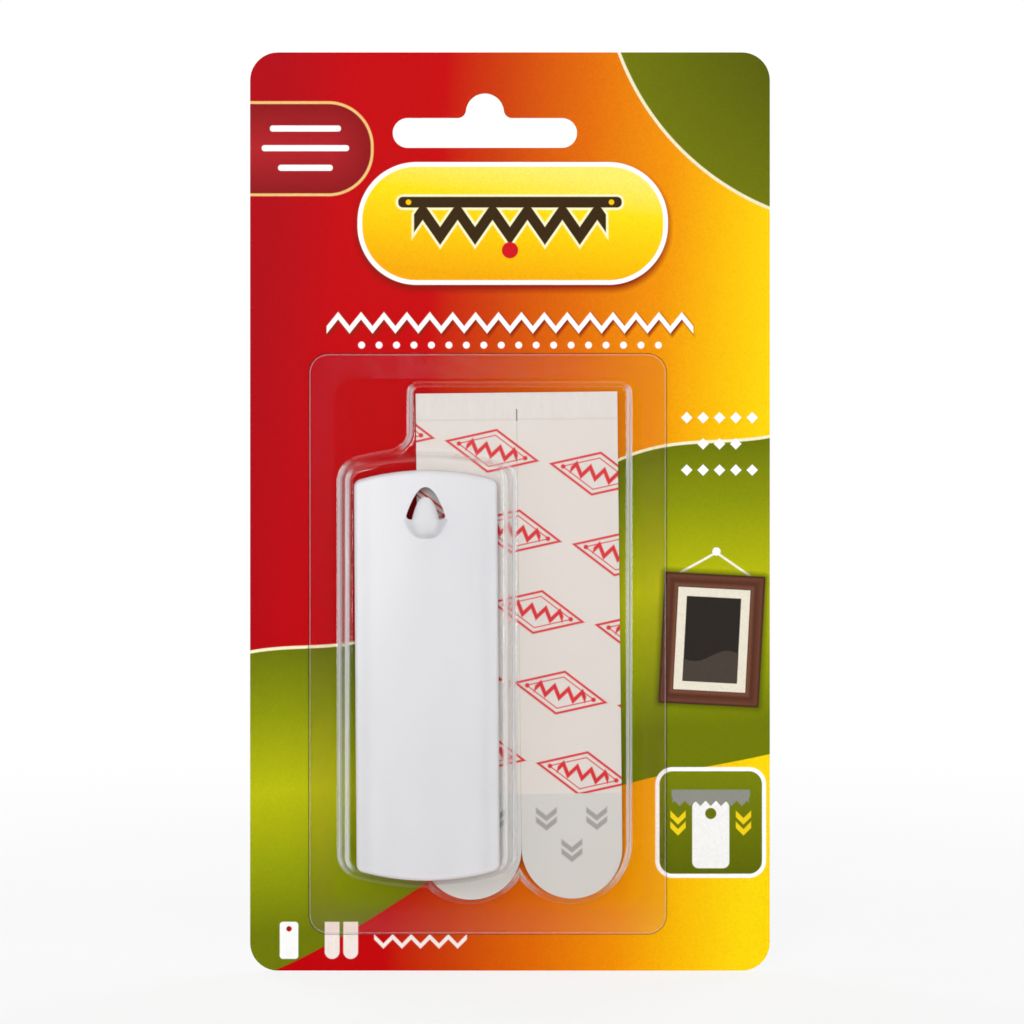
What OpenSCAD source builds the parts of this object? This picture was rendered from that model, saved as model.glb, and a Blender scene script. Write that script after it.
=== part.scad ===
// A sawtooth picture hanger on its hang card. A one-piece hanger and a joined pair of foam strips
// lie loose under a clear two-level blister, which is sealed to a printed card.
// Lengths are millimetres and angles are degrees. Each piece is drawn with the pack on its back:
// x to the right, y up the card and z out of its face. The pack is then stood up, face to -Y.

/* [Card] */
// Width of the card
card_w = 95.25; // [90:0.25:110]
// Height of the card
card_h = 168.3; // [160:0.1:185]
// Thickness of the board
card_t = 0.5; // [0.3:0.05:0.9]
// Radius of the card's corners
card_corner_r = 5.1; // [2:0.1:9]

/* [Hang slot] */
// Length of the slot's run, tip to tip
slot_w = 33.8; // [26:0.1:42]
// Height of the slot's run
slot_h = 5.5; // [4.6:0.1:7]
// Radius of the centre lobe, where the peg sits
lobe_r = 3.5; // [2.9:0.05:4.4]
// Height of the lobe's centre over the run's upper edge
lobe_rise = 1; // [0.6:0.1:2.4]
// Radius that blends the lobe into the run
slot_blend_r = 1.5; // [0.6:0.1:2.4]
// Board left over the lobe
slot_margin = 7.5; // [5:0.1:12]
// How far the slot sits left of the card's centre
slot_shift = 4.6; // [0:0.1:12]

/* [Blister] */
// Width of the flange
flange_w = 65.8; // [65:0.1:75]
// Width of the flange over the strips' pocket
flange_margin = 5; // [4.9:0.1:12]
// Radius of the flange's corners
flange_corner_r = 3.7; // [1.5:0.1:4.5]
// How far the flange sits left of the card's centre
flange_shift = 4.1; // [2:0.1:6]
// Height of the flange's lower edge over the card's lower edge
flange_lift = 6.6; // [4:0.1:12]
// Thickness of the clear sheet
sheet_t = 0.3; // [0.2:0.02:0.4]
// Lean of the drawn walls
draft = 10; // [5:0.5:14]
// Radius round the ceiling of the hanger's pocket
deep_top_r = 1.5; // [0.8:0.1:2]
// Radius round the ceiling of the strips' pocket
shallow_top_r = 0.8; // [0.5:0.05:0.9]
// Radius where the hanger's pocket leaves the flange and the lower ceiling
deep_foot_r = 1.1; // [0.5:0.05:1.4]
// Radius where the strips' pocket leaves the flange
shallow_foot_r = 0.7; // [0.4:0.05:0.8]
// Radius, seen from the front, of the web where the two pockets meet
web_r = 3.5; // [2:0.1:5]
// Width of the heat-sealed band
seal_w = 4.7; // [3:0.1:4.8]
// Thickness of the heat-seal coat
seal_t = 0.05; // [0.03:0.01:0.1]

/* [Hanger] */
// Width of the hanger
hanger_w = 26.1; // [25:0.1:27.5]
// Height of the hanger
hanger_h = 74.7; // [70:0.1:76]
// Depth of the body at the middle of its face
hanger_depth = 3.6; // [3:0.1:4.5]
// Rise of each bowed end
end_bow = 1.9; // [1:0.1:3]
// Rise of the crowned face
face_crown = 0.4; // [0.2:0.05:0.8]
// Radius of the outline's corners
hanger_corner_r = 1.6; // [1:0.1:2.5]
// Radius along the long front edges
long_edge_r = 0.6; // [0.3:0.05:1]
// Radius along the bowed front edges
end_edge_r = 1; // [0.5:0.05:1.4]
// How far the hanger's middle sits left of the card's centre
hanger_shift = 15.1; // [14.6:0.1:15.4]
// Lean of the loose hanger in its pocket
hanger_tilt = 0.4; // [0:0.05:0.6]
// Height of the hanger's lower end over the flange's lower edge
hanger_lift = 10.4; // [10:0.1:12]

/* [Hanger back] */
// Depth of the recess that takes a strip
land_depth = 0.8; // [0.4:0.1:1.2]
// Room beside a strip in the recess
land_gap = 0.5; // [0.2:0.05:0.6]
// Width of the rim over the recess
rim_w = 2.6; // [1.5:0.1:3.5]
// Width of the relief groove beside the recess
groove_w = 1.4; // [0.8:0.1:1.6]
// Depth of the relief groove
groove_depth = 1.3; // [0.5:0.1:1.6]
// Length that each groove stops short of the body's ends
groove_stop = 8; // [4:0.5:20]

/* [Window and tooth] */
// Distance from the hanger's top down to the window's sill
sill_drop = 9; // [8:0.1:12]
// Height of the window
window_h = 5.9; // [5:0.1:6.5]
// Width of the window at its sill
window_w = 7.1; // [6.2:0.1:8]
// Radius of the window's lower corners
window_corner_r = 0.7; // [0.3:0.1:1]
// Height of the tooth over the sill
tooth_h = 4.1; // [3:0.1:4.6]
// Width of the tooth at the sill
tooth_w = 5; // [4:0.1:5.6]
// Gap between the face's plane and the back of the tooth
tooth_gap = 0.5; // [0.3:0.05:0.9]
// Thickness of the tooth at its tip
tooth_tip_t = 0.8; // [0.5:0.05:1.1]
// How far the tooth's root stands out of the face
tooth_out = 2.5; // [2:0.1:3.2]
// Width of the swelling that carries the tooth
swell_w = 8.2; // [7.4:0.1:9.5]
// Height of the swelling below the sill
swell_h = 3.6; // [3:0.1:5]

/* [Strips] */
// Width of one strip
strip_w = 18.45; // [17.8:0.05:18.6]
// Length of one strip with its tab
strip_h = 92.6; // [88:0.1:93]
// Length of the blank header across both strips
header_h = 5.3; // [4:0.1:8]
// Length of the pull tab
tab_h = 19.2; // [14:0.1:24]
// Thickness of the foam
foam_t = 0.9; // [0.6:0.05:1.2]
// Thickness of one layer of adhesive
adhesive_t = 0.08; // [0.05:0.01:0.12]
// Thickness of one liner
liner_t = 0.09; // [0.05:0.01:0.12]
// Gap between the two strips
seam_gap = 0.04; // [0.03:0.01:0.12]
// Length of the slit that starts up the header
slit_h = 2.3; // [1:0.1:3.5]
// Lean of the loose pair in its pocket
strip_tilt = 0.65; // [0:0.05:0.8]
// How far the pair's middle sits right of the card's centre
strip_shift = 1.7; // [1.5:0.05:1.9]
// Height of the tabs' ends over the flange's lower edge
strip_lift = 6.7; // [6.5:0.1:8]

/* [Play] */
// Gap between stacked loose pieces
stack_gap = 0.15; // [0.1:0.05:0.25]
// Gap under the hanger and the strips as they rest in their pockets
rest_gap = 0.25; // [0.15:0.05:0.35]
// Headroom over the strips
strip_headroom = 0.7; // [0.4:0.1:1]
// Headroom over the tooth
tooth_headroom = 0.5; // [0.3:0.1:1.2]
// How far the upper ceiling frames the hanger at its sides
frame_side = 0.3; // [0:0.05:0.4]
// How far the upper ceiling reaches over the hanger's top
frame_top = 1; // [0.6:0.1:1.6]
// How far the lower ceiling frames the strips at their sides
pocket_side = 0.8; // [0.6:0.05:1]
// How far the lower ceiling reaches over the strips' top
pocket_top = 0.7; // [0.4:0.1:1.2]
// Width of the pocket's middle from the card's centre, to the right
pocket_shift = 1.75; // [1.6:0.05:1.9]

/* [Hidden] */

// The overrun of every cut past the face that it opens
over = 1;
// How far a blended surface runs into the one that it meets
weld = 0.06;
// Steps round a curve: a quarter corner, a long bow, a half round and a fillet's section
corner_steps = 6;
bow_steps = 12;
round_steps = 24;
fillet_steps = 4;
edge_steps = 5;
// The first angle of a foot's arc, where its wall has left the flange
foot_start = 14;

// Heights out of the card
flange_z = card_t + seal_t;
flange_top = flange_z + sheet_t;
strip_z = card_t + stack_gap;
strip_t = foam_t + 2 * (adhesive_t + liner_t);
hanger_z = strip_z + strip_t + stack_gap;
shallow_rise = strip_z + strip_t + strip_headroom + sheet_t - flange_top;
deep_rise = hanger_z + hanger_depth + tooth_out + tooth_headroom + sheet_t - flange_top;

// Places on the card, from its centre
lobe_y = card_h / 2 - slot_margin - lobe_r;
slot_top = lobe_y - lobe_rise;
flange_low = flange_lift - card_h / 2;
hanger_low = flange_low + hanger_lift;
hanger_mid = hanger_low + hanger_h / 2;
strip_low = flange_low + strip_lift;
tab_r = (strip_w - seam_gap) / 2;
strip_side = strip_w / 2;

// The two drawn walls, measured outwards from the edge of their ceiling
deep_run = wall_run(deep_rise, deep_top_r, deep_foot_r);
shallow_run = wall_run(shallow_rise, shallow_top_r, shallow_foot_r);

// The upper ceiling frames the hanger, and the wall below it stops the hanger's lower end
hanger_reach = inner_offset(deep_rise, deep_top_r, hanger_z + hanger_depth - end_edge_r - flange_top);
deep_w = hanger_w + 2 * frame_side;
deep_low = hanger_low + hanger_reach - rest_gap;
deep_high = hanger_low + hanger_h + frame_top;
deep_h = deep_high - deep_low;
deep_mid = (deep_high + deep_low) / 2;

// The lower ceiling is one tongue over each strip, and their round ends stop the tabs
strip_reach = inner_offset(shallow_rise, shallow_top_r, strip_z + strip_t - flange_top);
tongue_r = strip_side + pocket_side;
tongue_round_y = strip_low + tongue_r + strip_reach - rest_gap;
tongue_high = strip_low + strip_h + pocket_top;
tongue_corner_r = pocket_side;

// The flange reaches past the strips' pocket
flange_h = tongue_high + shallow_run + flange_margin - flange_low;

// Half a bowed end: the radius of its bow, the centre of its corner and the angle where they meet
function bow_radius(w, bow) = (w * w / 4 + bow * bow) / (2 * bow);
function corner_y(w, h, bow, r) =
    let (big = bow_radius(w, bow), x = w / 2 - r)
    h / 2 - big + sqrt((big - r) * (big - r) - x * x);
function corner_angle(w, h, bow, r) =
    atan2(corner_y(w, h, bow, r) - h / 2 + bow_radius(w, bow), w / 2 - r);

function arc(centre, r, from, to, steps) =
    [for (i = [0 : steps]) let (a = from + (to - from) * i / steps) centre + r * [cos(a), sin(a)]];
// A plate with bowed ends and round corners, as the centre, the radius and the angle of each point
function bow_frame(w, h, bow, r) =
    let (
        big = bow_radius(w, bow),
        x = w / 2 - r,
        y = corner_y(w, h, bow, r),
        a = corner_angle(w, h, bow, r),
        upper = concat(
            [for (i = [0 : corner_steps]) [[x, y], r, a * i / corner_steps]],
            [for (i = [1 : bow_steps - 1]) [[0, h / 2 - big], big, a + (180 - 2 * a) * i / bow_steps]],
            [for (i = [0 : corner_steps]) [[-x, y], r, 180 - a * (1 - i / corner_steps)]]
        )
    )
    concat(upper, [for (f = upper) [-f[0], f[1], f[2] + 180]]);
function outwards(f) = [cos(f[2]), sin(f[2])];
function inner_points(points) = [for (i = [1 : len(points) - 2]) points[i]];
function smooth(u) = let (v = min(1, max(0, u))) v * v * (3 - 2 * v);

// A drawn wall: its run from the ceiling's edge to the flange, and its section from foot to ceiling
function wall_run(rise, top_r, foot_r) =
    (top_r + foot_r) * cos(draft) + (rise - (top_r + foot_r) * (1 - sin(draft))) * tan(draft);
function foot_arc(run, foot_r, skin) = [
    for (i = [0 : fillet_steps])
        let (a = foot_start + (90 - draft - foot_start) * i / fillet_steps)
        [run - (foot_r + skin) * sin(a), foot_r - (foot_r + skin) * cos(a)]
];
function top_arc(rise, top_r, skin) = [
    for (i = [0 : fillet_steps])
        let (a = (90 - draft) * (1 - i / fillet_steps))
        [(top_r - skin) * sin(a), rise - top_r + (top_r - skin) * cos(a)]
];
function wall_section(rise, top_r, foot_r, skin) =
    let (foot = foot_arc(wall_run(rise, top_r, foot_r), foot_r, skin))
    concat([[foot[0].x, -skin - (skin > 0 ? over : sheet_t / 2)]], foot, top_arc(rise, top_r, skin));
// Offset of the wall's inside from the ceiling's edge, at a height on its straight stretch
function inner_offset(rise, top_r, height) =
    let (start = top_arc(rise, top_r, sheet_t)[0])
    start.x + (start.y - height) * tan(draft);

// Outlines that a drawn wall follows, at an offset from the ceiling's edge
function deep_outline(offset) =
    [for (f = bow_frame(deep_w, deep_h, end_bow, hanger_corner_r)) f[0] + (f[1] + offset) * outwards(f)];
function tongue_outline(offset) =
    let (x = tongue_r - tongue_corner_r, y = tongue_high - tongue_corner_r)
    concat(
        arc([x, y], tongue_corner_r + offset, 0, 90, corner_steps),
        arc([-x, y], tongue_corner_r + offset, 90, 180, corner_steps),
        arc([0, tongue_round_y], tongue_r + offset, 180, 360, round_steps)
    );
function raised(outline, place, z) = [for (p = outline) [p.x + place.x, p.y + place.y, z]];

module stand_up() {
    rotate([90, 0, 0])
        translate([slot_shift, -lobe_y, 0])
            children();
}

module round_plate(w, h, r) {
    square([w - 2 * r, h], center = true);
    square([w, h - 2 * r], center = true);
    for (x = [-1, 1], y = [-1, 1])
        translate([x * (w / 2 - r), y * (h / 2 - r)])
            circle(r);
}

// A bar with round ends
module round_bar(length, width) {
    square([length - width, width], center = true);
    for (side = [-1, 1])
        translate([side * (length - width) / 2, 0])
            circle(width / 2);
}

// The hang slot: a round-ended run with a lobe that blends into its upper edge.
// Each blend's ends run a little into the lobe and the run.
module hang_slot() {
    reach = lobe_r + slot_blend_r;
    blend = [sqrt(pow(reach, 2) - pow(lobe_rise - slot_blend_r, 2)), slot_top + slot_blend_r];
    lobe = [0, lobe_y];
    turn = atan2(lobe.y - blend.y, -blend.x);
    translate([0, slot_top - slot_h / 2])
        round_bar(slot_w, slot_h);
    translate(lobe)
        circle(lobe_r);
    for (side = [0, 1])
        mirror([side, 0])
            polygon(concat(
                [[0, slot_top - slot_h / 2], [blend.x, slot_top - slot_h / 2]],
                inner_points(arc(blend, slot_blend_r, -90, turn, 2 * corner_steps)),
                [blend + (slot_blend_r + weld) * [cos(turn), sin(turn)], lobe]
            ));
}

module backing_card() {
    color("orangered")
        stand_up()
            difference() {
                linear_extrude(card_t)
                    round_plate(card_w, card_h, card_corner_r);
                translate([-slot_shift, 0, -over])
                    linear_extrude(card_t + 2 * over)
                        hang_slot();
            }
}

module on_flange(z) {
    translate([-flange_shift, flange_low + flange_h / 2, z])
        children();
}

module seal_band() {
    color("mistyrose")
        stand_up()
            on_flange(card_t)
                linear_extrude(seal_t)
                    difference() {
                        round_plate(flange_w, flange_h, flange_corner_r);
                        round_plate(flange_w - 2 * seal_w, flange_h - 2 * seal_w, flange_corner_r);
                    }
}

// The solid that spans two sets of points
module slab(lower, upper) {
    points = concat(lower, upper);
    hull()
        polyhedron(points = points, faces = [[for (i = [0 : len(points) - 1]) i]]);
}

// Everything under one skin of the hanger's pocket
module deep_pocket(skin) {
    place = [-hanger_shift, deep_mid];
    section = wall_section(deep_rise, deep_top_r, deep_foot_r, skin);
    for (i = [0 : len(section) - 2])
        slab(
            raised(deep_outline(section[i].x), place, section[i].y),
            raised(deep_outline(section[i + 1].x), place, section[i + 1].y)
        );
}

// The foot of the hanger's pocket where it rises out of the lower ceiling, kept to that ceiling
module deep_shoulder(skin) {
    place = [-hanger_shift, deep_mid];
    foot = foot_arc(deep_foot_r, deep_foot_r, skin);
    meet = foot[fillet_steps];
    wall_rise = shallow_rise + meet.y - deep_foot_r * (1 - sin(draft));
    shift = deep_run - deep_foot_r * cos(draft) - wall_rise * tan(draft) - meet.x - weld;
    section = concat([[foot[0].x, -sheet_t]], foot);
    intersection() {
        for (i = [0 : len(section) - 2])
            slab(
                raised(deep_outline(section[i].x + shift), place, section[i].y + shallow_rise),
                raised(deep_outline(section[i + 1].x + shift), place, section[i + 1].y + shallow_rise)
            );
        for (side = [-1, 1])
            translate([pocket_shift + side * strip_side, 0, 0])
                linear_extrude(deep_rise)
                    polygon(tongue_outline(-skin - weld));
    }
}

// Everything under one skin of the strips' pocket, one tongue over each strip
module shallow_pocket(skin) {
    section = wall_section(shallow_rise, shallow_top_r, shallow_foot_r, skin);
    for (side = [-1, 1], i = [0 : len(section) - 2])
        let (place = [pocket_shift + side * strip_side, 0])
            slab(
                raised(tongue_outline(section[i].x), place, section[i].y),
                raised(tongue_outline(section[i + 1].x), place, section[i + 1].y)
            );
}

// The web in the corner between the strips' pocket and the upper end of the hanger's pocket.
// It runs a little into both walls, so that no two surfaces only touch.
module corner_web(skin) {
    wall = wall_section(shallow_rise, shallow_top_r, shallow_foot_r, skin);
    section = [for (p = wall) [p.x, p.y - weld / 2]];
    last = len(section) - 1;
    brow = 2 * section[last] - section[last - 1];
    reach = web_r + shallow_run;
    bow_r = bow_radius(deep_w, end_bow) + deep_run;
    bow_y = deep_high - bow_r + deep_run;
    web_x = pocket_shift - strip_side - tongue_r - reach + weld;
    web_y = bow_y + sqrt(pow(bow_r + web_r, 2) - pow(web_x + hanger_shift, 2)) - weld;
    inwards = [-hanger_shift - web_x, bow_y - web_y] / (bow_r + web_r);
    edge = [web_x, web_y] + skin * [-inwards.y, inwards.x];
    difference() {
        translate([0, 0, section[0].y])
            linear_extrude(shallow_rise - skin - section[0].y)
                polygon([
                    edge,
                    [web_x + reach + shallow_run, web_y - skin],
                    [web_x + reach + shallow_run, web_y - web_r - deep_run],
                    edge + inwards * (web_r + deep_run)
                ]);
        translate([web_x, web_y, 0])
            rotate_extrude($fn = 4 * round_steps)
                polygon(concat(
                    [[0, section[0].y - over], [reach - section[0].x, section[0].y - over]],
                    [for (i = [0 : last - 1]) [reach - section[i].x, section[i].y]],
                    [[reach - brow.x, brow.y]],
                    [for (x = [reach - brow.x, 0]) [x, shallow_rise + over]]
                ));
    }
}

module under_skin(skin) {
    translate([0, 0, flange_top]) {
        deep_pocket(skin);
        deep_shoulder(skin);
        shallow_pocket(skin);
        corner_web(skin);
    }
}

module blister() {
    color("lightcyan", 0.35)
        stand_up()
            difference() {
                union() {
                    on_flange(flange_z)
                        linear_extrude(sheet_t)
                            round_plate(flange_w, flange_h, flange_corner_r, $fn = 4 * round_steps);
                    under_skin(0);
                }
                under_skin(sheet_t);
            }
}

// The crowned face, and the edge round it as a ring at one angle of its roll
function face_z(x) = let (r = bow_radius(hanger_w, face_crown)) hanger_depth - r + sqrt(r * r - x * x);
function edge_ring(roll) = [
    for (f = bow_frame(hanger_w, hanger_h, end_bow, hanger_corner_r))
        let (
            n = outwards(f),
            r = long_edge_r * n.x * n.x + end_edge_r * n.y * n.y,
            p = f[0] + (f[1] - r * (1 - cos(roll))) * n
        )
        [p.x, p.y, face_z(p.x) - r * (1 - sin(roll))]
];

module hanger_blank() {
    frame = bow_frame(hanger_w, hanger_h, end_bow, hanger_corner_r);
    slab(
        [for (f = frame) let (p = f[0] + f[1] * outwards(f)) [p.x, p.y, 0]],
        [for (i = [0 : edge_steps]) each edge_ring(90 * i / edge_steps)]
    );
}

// The window's arch: its sides spread from the apex as a power of the depth below it
arch_share = 0.5;
arch_steps = 10;
function arch_side() =
    let (drop = window_h - window_corner_r, corner = [window_w / 2 - window_corner_r, window_corner_r])
    concat(
        [for (i = [0 : arch_steps])
            let (t = pow(i / arch_steps, 2)) [window_w / 2 * pow(t, arch_share), window_h - drop * t]],
        [for (p = arc(corner, window_corner_r, 0, -90, fillet_steps)) if (p.y < window_corner_r) p]
    );
function mirrored(points) = [for (i = [len(points) - 1 : -1 : 0]) [-points[i].x, points[i].y]];

module window() {
    side = arch_side();
    translate([0, 0, -over])
        linear_extrude(hanger_depth + 2 * over)
            polygon(concat(side, mirrored([for (i = [1 : len(side) - 1]) side[i]])));
}

// The tooth and the swelling that carries it, in sections stacked up the face past the sill.
// A section runs over its front from left to right and back along its rear.
across_steps = 14;
swell_steps = 10;
tooth_steps = 9;
plateau_share = 0.5;
start_share = 0.02;
swell_share = 0.35;
tooth_share = 0.4;
// The tooth's front is round across, as a curve of this power
tooth_power = 3;
tip_share = 0.97;
rear_share = 0.6;
root_share = 0.2;
sunk_share = 0.97;
foot_share = 0.3;
root_depth = hanger_depth * rear_share;
// The swelling rises fast from the face and rounds over to the sill, as curves of these powers
swell_power = 2.4;
swell_pace = 1.4;
function swell_front(v) = tooth_out * smooth(v / foot_share) * sqrt(1 - pow(1 - v, swell_power));
function spread(i) = sin(180 * i / across_steps - 90);
function section(half, y, fronts, rear) = concat(
    [for (i = [0 : across_steps]) [half * spread(i), y, fronts[i]]],
    [for (i = [across_steps : -1 : 0]) [half * spread(i), y, rear]]
);
function swell_section(v) =
    let (
        front = swell_front(v),
        side = [for (i = [0 : across_steps]) (abs(spread(i)) - plateau_share) / (1 - plateau_share)]
    )
    section(
        swell_w / 2 * pow(v, swell_share),
        swell_h * (v - 1),
        [for (u = side) front * (1 - smooth(u))],
        -root_depth
    );
// Over the sill the tooth thins to its tip, and under it its root stays inside the swelling
function tooth_section(t) =
    let (
        root = sunk_share * swell_front(1 + min(t, 0) * tooth_h / swell_h),
        front = root * (1 - max(t, 0)) + (tooth_gap + tooth_tip_t) * max(t, 0),
        crown = [for (i = [0 : across_steps]) sqrt(1 - pow(abs(spread(i)), tooth_power))]
    )
    section(
        tooth_w / 2 * pow(1 - max(t, 0), tooth_share),
        tooth_h * t,
        [for (share = crown) tooth_gap + (front - tooth_gap) * share],
        tooth_gap
    );

module stacked(rings) {
    n = len(rings[0]);
    last = len(rings) - 1;
    polyhedron(
        points = [for (ring = rings, p = ring) p],
        faces = concat(
            [[for (i = [0 : n - 1]) i]],
            [[for (i = [n - 1 : -1 : 0]) last * n + i]],
            [for (k = [0 : last - 1], i = [0 : n - 1]) let (j = (i + 1) % n) each [
                [k * n + i, (k + 1) * n + i, (k + 1) * n + j],
                [k * n + i, (k + 1) * n + j, k * n + j]
            ]]
        )
    );
}

module tooth() {
    rises = [for (i = [0 : swell_steps]) pow(i / swell_steps, swell_pace)];
    stacked([for (v = rises) swell_section(start_share + (1 - start_share) * v)]);
    shares = concat([-root_share], [for (i = [0 : tooth_steps]) tip_share * i / tooth_steps]);
    for (i = [0 : len(shares) - 2])
        slab(tooth_section(shares[i]), tooth_section(shares[i + 1]));
}

module hanger_body() {
    land_w = strip_w + 2 * land_gap;
    groove_x = (land_w / 2 + hanger_w / 2) / 2;
    color("white")
        stand_up()
            translate([-hanger_shift, hanger_mid, hanger_z])
                rotate(hanger_tilt) {
                    difference() {
                        hanger_blank();
                        translate([0, hanger_h / 2 - sill_drop, 0])
                            window();
                        translate([0, -rim_w / 2 - over / 2, -over])
                            linear_extrude(land_depth + over)
                                square([land_w, hanger_h - rim_w + over], center = true);
                        for (side = [-1, 1])
                            translate([side * groove_x, 0, -over])
                                linear_extrude(groove_depth + over)
                                    rotate(90)
                                        round_bar(hanger_h - 2 * groove_stop, groove_w, $fn = round_steps);
                    }
                    translate([0, hanger_h / 2 - sill_drop, hanger_depth])
                        tooth();
                }
}

module strip_place(side, z) {
    stand_up()
        translate([strip_shift, strip_low + strip_h / 2, z])
            rotate(strip_tilt)
                translate([side * strip_side, -strip_h / 2, 0])
                    children();
}

// A strip's outline from its square head to its round tab, cut to the stretch between two heights
module strip_slice(low, high, t) {
    linear_extrude(t)
        intersection() {
            union() {
                translate([-tab_r, tab_r])
                    square([2 * tab_r, strip_h - tab_r]);
                translate([0, tab_r])
                    circle(tab_r);
            }
            translate([-tab_r, low])
                square([2 * tab_r, high - low]);
        }
}

front_z = strip_z + adhesive_t + liner_t + foam_t;

module foam_core(side) {
    color("gainsboro")
        strip_place(side, strip_z + liner_t + adhesive_t)
            strip_slice(0, strip_h, foam_t);
}

module adhesive(side, z) {
    color("ivory")
        strip_place(side, z)
            strip_slice(tab_h, strip_h - header_h, adhesive_t);
}

module liner(side, z) {
    color("linen")
        strip_place(side, z)
            strip_slice(tab_h, strip_h - header_h, liner_t);
}

module tab_film(side, z) {
    color("lightgray")
        strip_place(side, z)
            strip_slice(0, tab_h, adhesive_t + liner_t);
}

// The blank header that bridges both strips, slit a little way up the seam
module header_film(z) {
    color("whitesmoke")
        strip_place(0, z)
            translate([0, strip_h - header_h, 0])
                linear_extrude(adhesive_t + liner_t)
                    difference() {
                        translate([-strip_side - tab_r, 0])
                            square([2 * (strip_side + tab_r), header_h]);
                        translate([-seam_gap / 2, -over])
                            square([seam_gap, slit_h + over]);
                    }
}

backing_card();
seal_band();
blister();
hanger_body();
foam_core(-1);  // foam_core_left
foam_core(1);  // foam_core_right
adhesive(-1, front_z);  // wall_adhesive_left
adhesive(1, front_z);  // wall_adhesive_right
adhesive(-1, strip_z + liner_t);  // hook_adhesive_left
adhesive(1, strip_z + liner_t);  // hook_adhesive_right
liner(-1, front_z + adhesive_t);  // wall_liner_left
liner(1, front_z + adhesive_t);  // wall_liner_right
liner(-1, strip_z);  // hook_liner_left
liner(1, strip_z);  // hook_liner_right
tab_film(-1, front_z);  // tab_film_front_left
tab_film(1, front_z);  // tab_film_front_right
tab_film(-1, strip_z);  // tab_film_back_left
tab_film(1, strip_z);  // tab_film_back_right
header_film(front_z);  // header_film_front
header_film(strip_z);  // header_film_back
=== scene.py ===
import math
from collections import namedtuple

import bmesh
import bpy
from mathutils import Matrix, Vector


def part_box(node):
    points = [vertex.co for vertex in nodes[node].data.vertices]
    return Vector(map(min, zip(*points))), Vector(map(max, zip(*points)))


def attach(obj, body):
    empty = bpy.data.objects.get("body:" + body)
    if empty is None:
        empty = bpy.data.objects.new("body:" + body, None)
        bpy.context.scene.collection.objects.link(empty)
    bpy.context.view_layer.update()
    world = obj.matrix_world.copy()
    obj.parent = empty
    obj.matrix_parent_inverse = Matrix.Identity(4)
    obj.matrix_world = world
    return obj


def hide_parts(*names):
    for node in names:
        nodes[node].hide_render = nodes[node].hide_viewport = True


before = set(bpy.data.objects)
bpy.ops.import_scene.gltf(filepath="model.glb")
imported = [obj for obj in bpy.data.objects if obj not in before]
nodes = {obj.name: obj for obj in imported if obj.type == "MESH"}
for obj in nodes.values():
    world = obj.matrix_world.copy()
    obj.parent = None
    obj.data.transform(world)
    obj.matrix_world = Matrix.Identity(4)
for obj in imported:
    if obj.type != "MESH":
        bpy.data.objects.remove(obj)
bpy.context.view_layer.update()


# Places, in metres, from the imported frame
def middle_of(box):
    """The middle of a box as it is seen from the front, on the card's back face."""
    low, high = box
    return ((low[0] + high[0]) / 2, 0.0, (low[2] + high[2]) / 2)


MM = 0.001
CARD_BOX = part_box("backing_card")
CARD_MIDDLE = middle_of(CARD_BOX)
CARD_FRONT = CARD_BOX[0][1]
CARD_FOOT = CARD_BOX[0][2]
FLANGE_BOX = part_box("blister")
HANGER_MIDDLE = middle_of(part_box("hanger_body"))

# The joined strips lean in their pocket, as the part's source places them
STRIP_MIDDLE = (0.0063, 0.0, -0.0977)
STRIP_LEAN = math.radians(0.65)

# Round corner of the blister's flange, in millimetres
FLANGE_CORNER = 3.7

# Crispness of a printed edge, in millimetres from full ink to none
PRINT_EDGE = 0.16
LINER_PRINT_EDGE = 0.22

# Inks used in more than one place
WHITE = "ffffff"
OFF_WHITE = "f6ece6"
GOLD = "f9c602"
LEMON = "f2d21a"
LINER_RED = "e0262c"

Place = namedtuple("Place", "x y mm")
Grain = namedtuple("Grain", "mottle fibre height")


# Numbers and colours that change over a surface
def ink(code):
    """A colour as it looks on screen, in the linear values that a shader takes."""
    parts = [int(code[i : i + 2], 16) / 255 for i in (0, 2, 4)]
    linear = [v / 12.92 if v <= 0.04045 else ((v + 0.055) / 1.055) ** 2.4 for v in parts]
    return (*linear, 1.0)


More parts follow.
